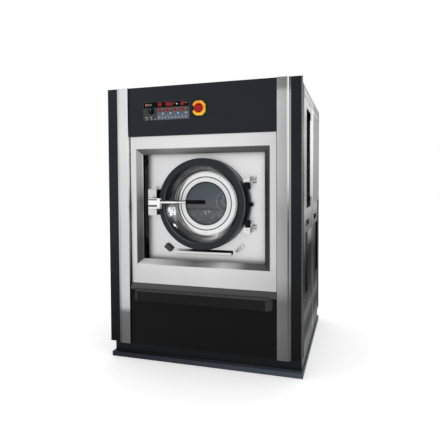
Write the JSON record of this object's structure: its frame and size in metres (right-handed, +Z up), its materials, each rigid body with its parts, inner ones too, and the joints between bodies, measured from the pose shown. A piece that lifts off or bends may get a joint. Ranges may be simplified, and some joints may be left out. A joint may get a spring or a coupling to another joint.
{
  "type": "industrial washing machine",
  "caption": "Floor-standing industrial washer-extractor: steel cabinet, sprung tub with belt-driven drum, round hinged door with glass, lever latch, control fascia and pull bar.",
  "frame": {"origin": "on the floor, at the middle of the overall width and depth", "axes": "+X to the machine's right as seen from the front, +Y to the rear, +Z up"},
  "size_m": [1.36, 1.428, 1.9],
  "materials": {
    "frame_paint": "satin powder coat",
    "dark_paint": "satin powder coat",
    "black_paint": "satin powder coat",
    "stainless": "brushed",
    "stainless_bright": "fine brushed",
    "stainless_dull": "brushed",
    "polished": "polished",
    "clamp_satin": "satin",
    "zinc": "zinc plated",
    "overlay": "satin film",
    "display": "gloss",
    "black_plastic": "fine texture",
    "start_key": "satin",
    "stop_key": "satin",
    "yellow": "gloss",
    "red": "gloss",
    "drive_case": "satin",
    "valve_plastic": "satin",
    "drain_plastic": "satin",
    "spring_steel": "semi gloss",
    "black_rubber": "matte",
    "cast": "painted",
    "motor_paint": "painted, ribbed",
    "cradle_paint": "satin",
    "ground_steel": "ground",
    "ring_paint": "satin",
    "glass": "smoked, clear"
  },
  "bodies": {
    "cabinet": {"main_frame": "frame_paint", "left_side_panel": "stainless", "right_side_panel": "stainless", "side_covers": "stainless", "left_corner_panel": "dark_paint", "right_corner_panel": "dark_paint", "left_trim": "stainless_bright", "right_trim": "stainless_bright", "control_fascia": "dark_paint", "front_panel": "stainless_bright", "bezel_frame": "stainless_dull", "lower_panel": "black_paint", "pull_bar": "black_paint", "top_cover": "stainless", "back_panel": "stainless", "cabinet_screws": "zinc", "control_overlay": "overlay", "display_windows": "display", "stop_collar": "yellow", "control_box": "drive_case", "inverter_drive": "drive_case", "inlet_valves": "valve_plastic", "drain_valve": "drain_plastic", "cable_gland": "black_plastic", "damper_bodies": "black_paint", "suspension_springs": "spring_steel", "drain_bellows": "black_rubber"},
    "tub": {"tub_shell": "stainless", "tub_front_plate": "stainless_bright", "door_gasket": "black_rubber", "drip_gutter": "stainless", "buffer_block": "black_rubber", "hinge_brackets": "polished", "latch_bracket": "stainless_bright", "lock_block": "black_plastic", "bearing_housing": "cast", "main_bearings": "ground_steel", "motor": "motor_paint", "tub_cradle": "cradle_paint", "damper_rods": "ground_steel", "drive_belt": "black_rubber"},
    "drum": {"drum_basket": "stainless", "drum_lifters": "stainless", "drum_spider": "cast", "drum_pulley": "cast"},
    "motor_rotor": {"motor_pulley": "ground_steel"},
    "door": {"door_ring": "ring_paint", "door_bowl": "polished", "clamp_ring": "clamp_satin", "door_glass": "glass", "door_yoke": "black_paint", "hinge_pins": "ground_steel"},
    "lever": {"door_lever": "ground_steel", "lever_grip": "black_plastic"},
    "bolt": {"lock_bolt": "ground_steel"},
    "knob": {"program_knob": "black_plastic"},
    "start_button": {"start_key": "start_key"},
    "halt_button": {"stop_key": "stop_key"},
    "emergency_button": {"stop_button": "red"}
  },
  "joints": [
    {"name": "suspension", "type": "slide", "parent": "cabinet", "child": "tub", "axis": [0, 0, 1], "range_m": [-0.02, 0.015], "stiffness_N_per_m": 360000, "springref_m": 0.01766, "deforming": ["suspension_springs", "drain_bellows"]},
    {"name": "drum_spin", "type": "hinge", "parent": "tub", "child": "drum", "pos_m": [0, 0, 1.1], "axis": [0, 1, 0], "continuous": true},
    {"name": "motor_spin", "type": "hinge", "parent": "tub", "child": "motor_rotor", "pos_m": [0.35, 0, 0.488], "axis": [0, 1, 0], "continuous": true},
    {"name": "door_swing", "type": "hinge", "parent": "tub", "child": "door", "pos_m": [0.322, -0.63, 1.1], "axis": [0, 0, 1], "range_deg": [0, 130]},
    {"name": "lever_pull", "type": "hinge", "parent": "door", "child": "lever", "pos_m": [-0.335, -0.682, 1.118], "axis": [0, 0, -1], "range_deg": [0, 60], "stiffness_Nm_per_rad": 4},
    {"name": "door_lock", "type": "slide", "parent": "tub", "child": "bolt", "axis": [0, 0, -1], "range_m": [0, 0.02], "stiffness_N_per_m": 400, "springref_m": -0.012},
    {"name": "program_turn", "type": "hinge", "parent": "cabinet", "child": "knob", "pos_m": [-0.341, -0.668, 1.734], "axis": [0, 1, 0], "continuous": true},
    {"name": "start_press", "type": "slide", "parent": "cabinet", "child": "start_button", "axis": [0, 1, 0], "range_m": [0, 0.001], "stiffness_N_per_m": 900},
    {"name": "stop_press", "type": "slide", "parent": "cabinet", "child": "halt_button", "axis": [0, 1, 0], "range_m": [0, 0.001], "stiffness_N_per_m": 900},
    {"name": "emergency_press", "type": "slide", "parent": "cabinet", "child": "emergency_button", "axis": [0, 1, 0], "range_m": [0, 0.005], "stiffness_N_per_m": 2500}
  ],
  "couplings": [
    {"joint": "motor_spin", "follows": "drum_spin", "ratio": 4.25}
  ]
}
